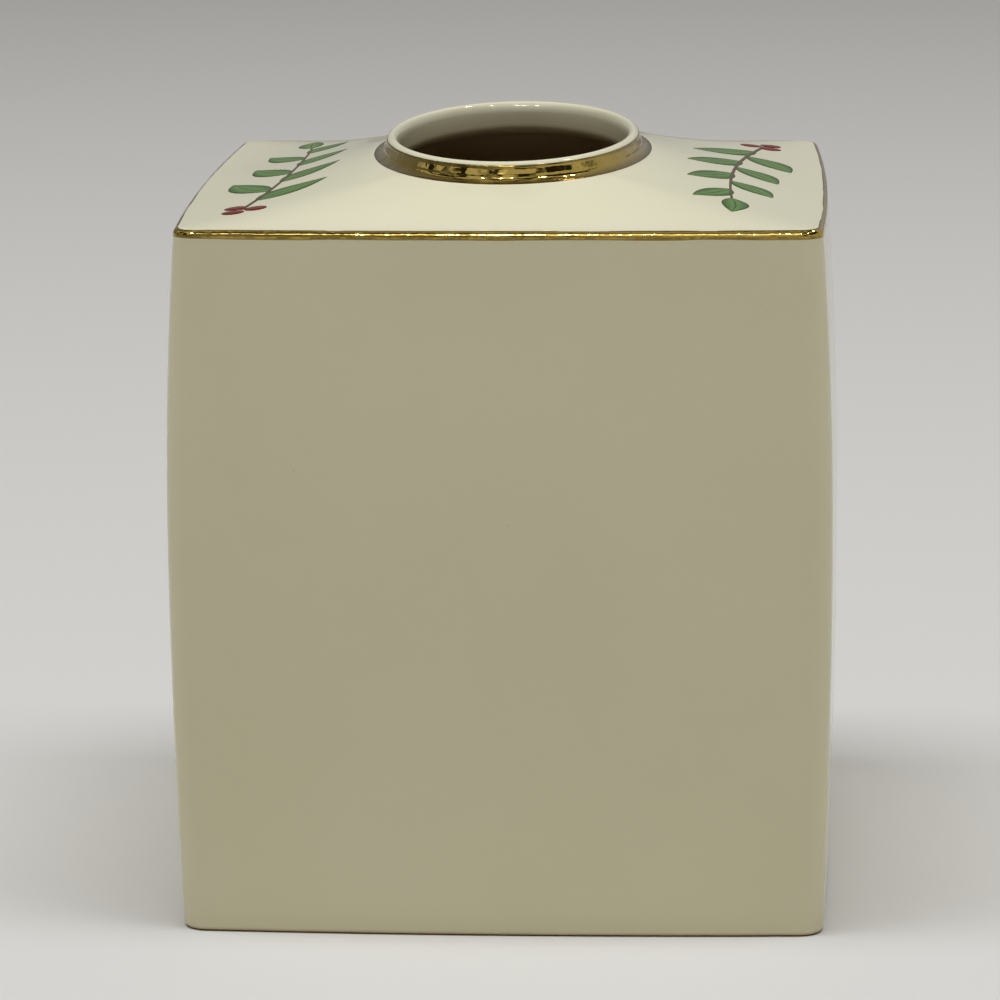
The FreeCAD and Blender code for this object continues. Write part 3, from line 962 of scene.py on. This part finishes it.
COVER_TOP = (0.0, 0.0, 0.14)
SPARKLES = [(-0.62, -0.91, 1.25), (-0.07, -1.10, 1.25), (0.30, -1.06, 1.25), (1.03, -0.38, 1.25),
            (0.95, 0.55, 1.25)]
SPARKLE_SIZE = (0.13, 0.13)
SPARKLE_WATTS = 3.0
SOFTBOX_PLACE = (0.0, -0.3, 2.5)
SOFTBOX_SIZE = (3.0, 0.9)
SOFTBOX_WATTS = 69.0

softbox = lamp("overhead_softbox", SOFTBOX_PLACE, COVER_TOP, SOFTBOX_SIZE, SOFTBOX_WATTS, tint="#F6F9FF")
softbox.visible_glossy = False
for number, place in enumerate(SPARKLES):
    sparkle = lamp("sparkle_%d" % number, place, COVER_TOP, SPARKLE_SIZE, SPARKLE_WATTS, tint="#FFF6E8",
                   shape="DISK")
    sparkle.visible_diffuse = False

# %% [markdown]
# ## What the gold mirrors
# A mirror looks like whatever stands round it. The world is a dim even glow for matt surfaces, but the
# camera and reflections see a studio in it: plain walls at the horizon and behind, brighter to the right,
# a clutter of light and dark above the horizon at the front and sides, and one bright window high in front.
# The clutter gives the collar its dark and amber patches, and the window draws the streak on the shoulder
# line.

# %% World
WORLD_LIGHT = 0.14
LEFT_LIGHT = 0.14
RIGHT_LIGHT = 0.50
WINDOW_LIGHT = 3.0
WINDOW_SIDE = (-0.05, -0.70, 0.71)
WINDOW_MIDDLE = math.radians(3.0)
WINDOW_EDGE = math.radians(13.0)
CLUTTER_SCALE = 3.2
CLUTTER_EDGE = (0.46, 0.56)
CLUTTER_LIGHT = (0.02, 0.58)
CLUTTER_BACK = (0.50, 0.35)
CLUTTER_FOOT = (0.12, 0.22)

world = bpy.data.worlds.new("dim_studio")
bpy.context.scene.world = world
world.use_nodes = True
tree = world.node_tree
backdrop = tree.nodes["Background"]
seen = seen_rays(tree)
direction = add(tree, "ShaderNodeTexCoord").outputs["Generated"]
heading = add(tree, "ShaderNodeSeparateXYZ", {"Vector": direction}).outputs
not_behind = remap(tree, heading["Y"], CLUTTER_BACK)
above = remap(tree, heading["Z"], CLUTTER_FOOT)
patched = calculate(tree, "MULTIPLY", not_behind, above)
clutter = add(tree, NOISE, {"Vector": direction, "Scale": CLUTTER_SCALE, "Detail": 1.0})
patches = remap(tree, clutter.outputs["Fac"], CLUTTER_EDGE, CLUTTER_LIGHT)
plain = remap(tree, heading["X"], (-1.0, 1.0), (LEFT_LIGHT, RIGHT_LIGHT))
walls = between(tree, patched, plain, patches)
towards_window = add(tree, "ShaderNodeVectorMath", {0: direction, 1: WINDOW_SIDE}, operation="DOT_PRODUCT")
window = remap(tree, towards_window.outputs["Value"], (math.cos(WINDOW_EDGE), math.cos(WINDOW_MIDDLE)),
               (0.0, WINDOW_LIGHT))
studio = calculate(tree, "ADD", walls, window)
tree.links.new(between(tree, seen, WORLD_LIGHT, studio), backdrop.inputs["Strength"])
tree.links.new(blend(tree, seen, "#FFF0DC", "#F4F4F0"), backdrop.inputs["Color"])
bpy.context.scene.view_settings.view_transform = "Standard"
print("World glow", WORLD_LIGHT, "and mirrored walls from", LEFT_LIGHT, "to", RIGHT_LIGHT)

# %% [markdown]
# ## Camera
# The camera was worked out from the cover's corners in the photograph: a long lens a little over 0.9 m
# away, slightly right of the middle and looking down. It is turned by a yaw, a pitch and a small roll.

# %% Camera
CAMERA_PLACE = Vector((51.77, -904.9, 272.26)) * MM
YAW, PITCH, ROLL = -0.0608, 0.2171, -0.0087
SENSOR = 36.0
FOCAL_SHARE = 4.5559

forward = Vector((math.sin(YAW) * math.cos(PITCH), math.cos(YAW) * math.cos(PITCH), -math.sin(PITCH)))
level = Vector((math.cos(YAW), -math.sin(YAW), 0.0))
upward = level.cross(forward)
right = level * math.cos(ROLL) + upward * math.sin(ROLL)
upward = upward * math.cos(ROLL) - level * math.sin(ROLL)
turn = Matrix((right, upward, -forward)).transposed().to_4x4()
lens = bpy.data.cameras.new("camera")
lens.sensor_fit = "HORIZONTAL"
lens.sensor_width = SENSOR
lens.lens = SENSOR * FOCAL_SHARE
camera = bpy.data.objects.new("camera", lens)
camera.matrix_world = Matrix.Translation(CAMERA_PLACE) @ turn
bpy.context.scene.collection.objects.link(camera)
bpy.context.scene.camera = camera
print("Lens", round(lens.lens, 1), "mm at", [round(v, 3) for v in camera.location])
